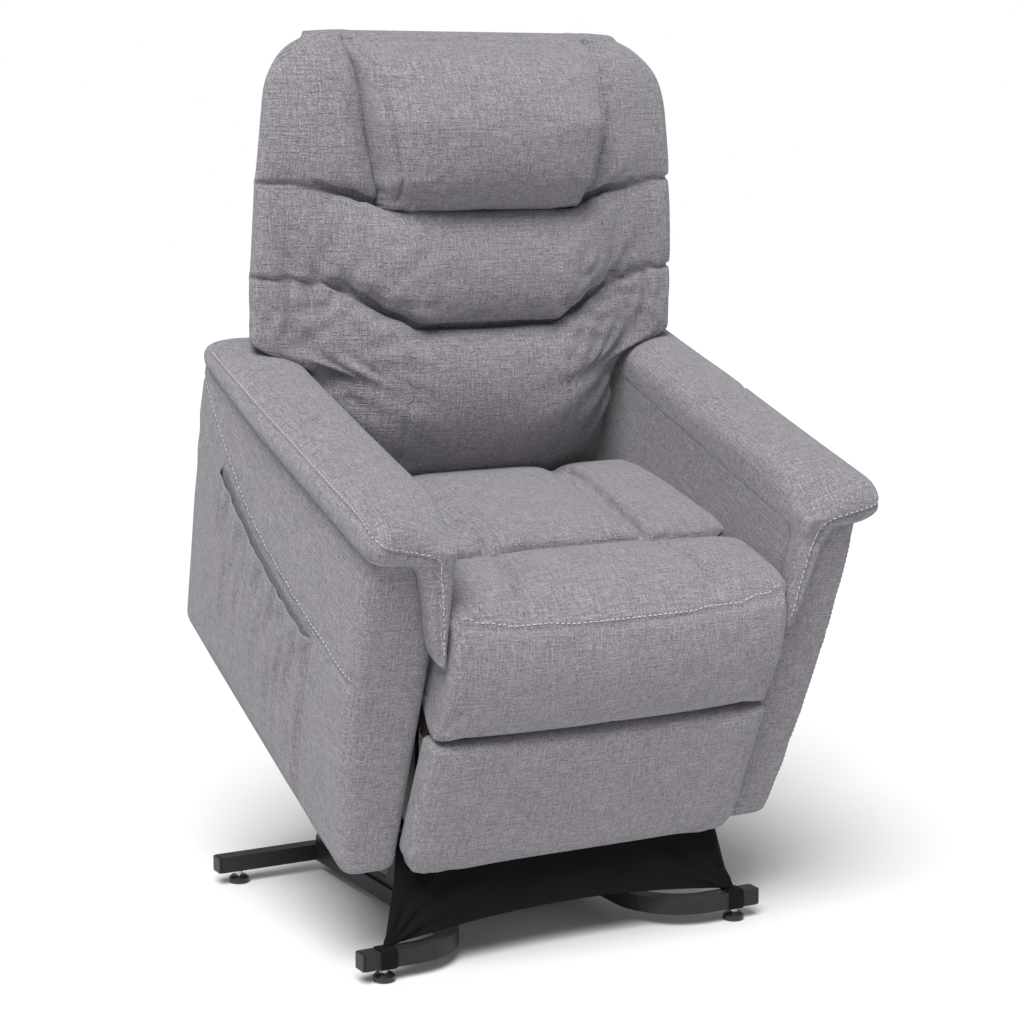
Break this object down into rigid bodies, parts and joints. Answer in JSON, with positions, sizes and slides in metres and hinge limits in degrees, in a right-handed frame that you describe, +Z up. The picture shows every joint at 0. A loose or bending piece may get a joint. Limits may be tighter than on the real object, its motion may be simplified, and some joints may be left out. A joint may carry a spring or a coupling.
{
  "type": "lift recliner chair",
  "caption": "Powered lift recliner armchair with padded back, reclining backrest, fold-out footrest and a tilting lift base; shown at the raised end of its lift.",
  "frame": {"origin": "on the floor, under the middle of the raised chair's outline", "axes": "+Z up, -Y the way the chair faces, +X to the occupant's left"},
  "size_m": [0.794, 0.7998, 1.3121],
  "materials": {
    "grey_fabric": "heathered woven",
    "black_cloth": "matte stretch",
    "deck_webbing": "woven",
    "black_powder_coat": "satin",
    "zinc_steel": "zinc plated",
    "black_plastic": "fine texture",
    "gloss_plastic": "gloss",
    "plywood": "unfinished"
  },
  "bodies": {
    "base": {"base_rear_cross_tube": "black_powder_coat", "base_motor_cross_tube": "black_powder_coat", "base_side_rail_left": "black_powder_coat", "base_side_rail_right": "black_powder_coat", "tube_end_cap_front_left": "black_plastic", "tube_end_cap_front_right": "black_plastic", "tube_end_cap_rear_left": "black_plastic", "tube_end_cap_rear_right": "black_plastic", "levelling_foot_front_left": "gloss_plastic", "levelling_foot_front_right": "gloss_plastic", "levelling_foot_rear_left": "gloss_plastic", "levelling_foot_rear_right": "gloss_plastic", "pivot_plate_left": "black_powder_coat", "pivot_plate_right": "black_powder_coat", "lift_motor_clevis": "black_powder_coat", "front_skirt": "black_cloth"},
    "lift_arms": {"lift_torque_tube": "black_powder_coat", "lift_horn": "black_powder_coat", "lift_arm_left": "black_powder_coat", "lift_arm_right": "black_powder_coat"},
    "front_links": {"front_link_left": "black_powder_coat", "front_link_right": "black_powder_coat"},
    "lift_drive": {"lift_drive_tube": "zinc_steel", "lift_drive_motor": "black_plastic"},
    "lift_rod": {"lift_drive_rod": "zinc_steel"},
    "chair": {"chassis_plate_left": "black_powder_coat", "chassis_plate_right": "black_powder_coat", "seat_side_plate_left": "black_powder_coat", "seat_side_plate_right": "black_powder_coat", "seat_cross_bar_front": "black_powder_coat", "seat_cross_bar_rear": "black_powder_coat", "seat_front_rail": "plywood", "seat_spring_deck": "deck_webbing", "power_supply": "black_plastic", "seat_cushion": "grey_fabric", "seat_front_border": "grey_fabric", "arm_body_left": "grey_fabric", "arm_body_right": "grey_fabric", "arm_cap_left": "grey_fabric", "arm_cap_right": "grey_fabric", "side_cover_left": "grey_fabric", "side_cover_right": "grey_fabric", "side_pocket": "grey_fabric"},
    "back": {"back_stile_left": "black_powder_coat", "back_stile_right": "black_powder_coat", "back_rail_lower": "plywood", "back_rail_upper": "plywood", "back_lumbar_cushion": "grey_fabric", "back_middle_cushion": "grey_fabric", "back_bolster_left": "grey_fabric", "back_bolster_right": "grey_fabric", "headrest_pillow": "grey_fabric", "back_outer_shell": "grey_fabric"},
    "footrest_upper": {"footrest_torque_tube": "black_powder_coat", "footrest_upper_link_left": "black_powder_coat", "footrest_upper_link_right": "black_powder_coat"},
    "footrest_lower": {"footrest_lower_link_left": "black_powder_coat", "footrest_lower_link_right": "black_powder_coat"},
    "footrest_panel": {"footrest_board": "plywood", "footrest_pad": "grey_fabric"}
  },
  "joints": [
    {"name": "lift", "type": "hinge", "parent": "base", "child": "lift_arms", "pos_m": [0, 0.3114, 0.065], "axis": [1, 0, 0], "range_deg": [0, 26.92], "deforming": ["front_skirt"]},
    {"name": "front_link_pivot", "type": "hinge", "parent": "base", "child": "front_links", "pos_m": [0, 0.0481, 0.08], "axis": [1, 0, 0], "range_deg": [0, 36.75]},
    {"name": "chair_tilt", "type": "hinge", "parent": "lift_arms", "child": "chair", "pos_m": [0, -0.02741, 0.2819], "axis": [-1, 0, 0], "range_deg": [0, 51.33]},
    {"name": "drive_pivot", "type": "hinge", "parent": "base", "child": "lift_drive", "pos_m": [0, 0.0474, 0.0595], "axis": [1, 0, 0], "range_deg": [0, 4.42]},
    {"name": "drive_rod", "type": "slide", "parent": "lift_drive", "child": "lift_rod", "axis": [0, 0.804, 0.5946], "range_m": [-0.07648, 0]},
    {"name": "back_recline", "type": "hinge", "parent": "chair", "child": "back", "pos_m": [0, 0.21025, 0.64226], "axis": [-1, 0, 0], "range_deg": [0, 38]},
    {"name": "footrest", "type": "hinge", "parent": "chair", "child": "footrest_upper", "pos_m": [0, -0.13711, 0.36226], "axis": [-1, 0, 0], "range_deg": [0, 69.74]},
    {"name": "footrest_knee", "type": "hinge", "parent": "footrest_upper", "child": "footrest_lower", "pos_m": [0, -0.13175, 0.21634], "axis": [1, 0, 0], "range_deg": [0, 126.8]},
    {"name": "footrest_ankle", "type": "hinge", "parent": "footrest_lower", "child": "footrest_panel", "pos_m": [0, -0.22973, 0.32486], "axis": [-1, 0, 0], "range_deg": [0, 141.1]}
  ],
  "couplings": [
    {"joint": "front_link_pivot", "follows": "lift", "ratio": 1.3648},
    {"joint": "chair_tilt", "follows": "lift", "ratio": 1.9064},
    {"joint": "drive_pivot", "follows": "lift", "ratio": 0.1634},
    {"joint": "drive_rod", "follows": "lift", "m_per_rad": -0.16235},
    {"joint": "footrest_knee", "follows": "footrest", "ratio": 1.8176},
    {"joint": "footrest_ankle", "follows": "footrest", "ratio": 2.0231}
  ]
}
